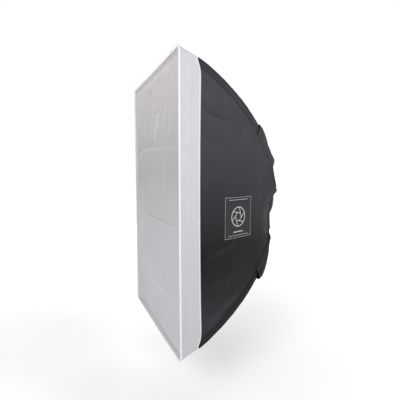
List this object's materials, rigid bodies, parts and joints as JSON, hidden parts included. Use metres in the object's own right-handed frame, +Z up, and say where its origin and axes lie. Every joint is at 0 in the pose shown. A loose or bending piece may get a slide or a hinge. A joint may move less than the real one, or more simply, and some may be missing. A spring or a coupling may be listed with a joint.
{
  "type": "strip softbox",
  "caption": "Rectangular fabric softbox with bowed rods, a white recessed lip, front diffuser and inner baffle, on a rotating speed ring with a bayonet mount and lock knob.",
  "frame": {"origin": "centre of the lamp bore in the bayonet plate's seating plane", "axes": "+Y out of the back towards the lamp head, +Z up along the long side of the face, +X along the short side; the face looks along -Y"},
  "size_m": [0.6, 0.4655, 0.9],
  "materials": {
    "black_oxford": "coated black woven nylon, silver inside",
    "white_band": "white translucent nylon",
    "white_binding": "white stitched binding",
    "white_piping": "white corded edge",
    "diffuser_cloth": "plain white diffusion cloth",
    "baffle_cloth": "plain white diffusion cloth",
    "white_tape": "white hook and loop tape",
    "black_tape": "black hook and loop tape",
    "elastic": "black elastic webbing",
    "snap_metal": "nickel plated",
    "rod_fibre": "black fibreglass rod",
    "rod_cap": "moulded end",
    "ferrule_metal": "crimped steel",
    "socket_metal": "zinc plated tube",
    "pocket_web": "black webbing",
    "ring_cast": "black powder coated casting",
    "ring_turned": "satin turned",
    "plate_steel": "zinc plated steel",
    "screw_steel": "black oxide steel",
    "knob_plastic": "moulded black plastic",
    "label_patch": "black patch with a thin light outline"
  },
  "bodies": {
    "adapter": {"bayonet_plate": "plate_steel", "rotation_ring": "ring_turned", "adapter_screws": "screw_steel"},
    "lock_screw": {"lock_screw": "screw_steel"},
    "lock_knob": {"lock_knob": "knob_plastic"},
    "front_cloth": {"front_diffuser": "diffuser_cloth", "diffuser_hook_border": "white_tape"},
    "flap_upper_right": {"corner_flap_upper_right": "black_oxford", "flap_hook_tape_upper_right": "black_tape"},
    "flap_upper_left": {"corner_flap_upper_left": "black_oxford", "flap_hook_tape_upper_left": "black_tape"},
    "flap_lower_left": {"corner_flap_lower_left": "black_oxford", "flap_hook_tape_lower_left": "black_tape"},
    "flap_lower_right": {"corner_flap_lower_right": "black_oxford", "flap_hook_tape_lower_right": "black_tape"},
    "softbox": {"back_gussets": "black_oxford", "back_hems": "black_tape", "baffle_border_tape": "white_tape", "baffle_elastic_tabs": "elastic", "baffle_snap_buttons": "snap_metal", "band_binding": "white_binding", "corner_tip_pockets": "pocket_web", "edge_piping": "white_piping", "flap_loop_tapes": "black_tape", "front_band": "white_band", "inner_baffle": "baffle_cloth", "lip_loop_tape": "white_tape", "ring_screws": "screw_steel", "rod_end_ferrules": "ferrule_metal", "rod_lower_left": "rod_fibre", "rod_lower_right": "rod_fibre", "rod_socket_tubes": "socket_metal", "rod_tip_caps": "rod_cap", "rod_upper_left": "rod_fibre", "rod_upper_right": "rod_fibre", "shell_panel_bottom": "black_oxford", "shell_panel_left": "black_oxford", "shell_panel_right": "black_oxford", "shell_panel_top": "black_oxford", "side_label": "label_patch", "socket_ring": "ring_cast", "speed_ring": "ring_cast"}
  },
  "joints": [
    {"name": "ring_turn", "type": "hinge", "parent": "adapter", "child": "softbox", "pos_m": [0, -0.01, 0], "axis": [0, 1, 0], "continuous": true},
    {"name": "lock_slide", "type": "slide", "parent": "softbox", "child": "lock_screw", "axis": [0.9272, 0, 0.3746], "range_m": [0, 0.003]},
    {"name": "lock_turn", "type": "hinge", "parent": "lock_screw", "child": "lock_knob", "pos_m": [0.08345, -0.0118, 0.03372], "axis": [0.9272, 0, 0.3746], "range_deg": [0, 1080]},
    {"name": "diffuser_pull", "type": "slide", "parent": "softbox", "child": "front_cloth", "axis": [0, -1, 0], "range_m": [0, 0.3]},
    {"name": "flap_upper_right_peel", "type": "hinge", "parent": "softbox", "child": "flap_upper_right", "pos_m": [0.14338, -0.08526, 0.20644], "axis": [-0.4057, 0.6347, -0.6577], "range_deg": [0, 85]},
    {"name": "flap_upper_left_peel", "type": "hinge", "parent": "softbox", "child": "flap_upper_left", "pos_m": [-0.14338, -0.08526, 0.20644], "axis": [-0.4057, -0.6347, 0.6577], "range_deg": [0, 85]},
    {"name": "flap_lower_left_peel", "type": "hinge", "parent": "softbox", "child": "flap_lower_left", "pos_m": [-0.14338, -0.08526, -0.20644], "axis": [0.4057, 0.6347, 0.6577], "range_deg": [0, 85]},
    {"name": "flap_lower_right_peel", "type": "hinge", "parent": "softbox", "child": "flap_lower_right", "pos_m": [0.14338, -0.08526, -0.20644], "axis": [0.4057, -0.6347, -0.6577], "range_deg": [0, 85]}
  ],
  "couplings": [
    {"joint": "lock_slide", "follows": "lock_turn", "m_per_rad": 0.00015915}
  ]
}
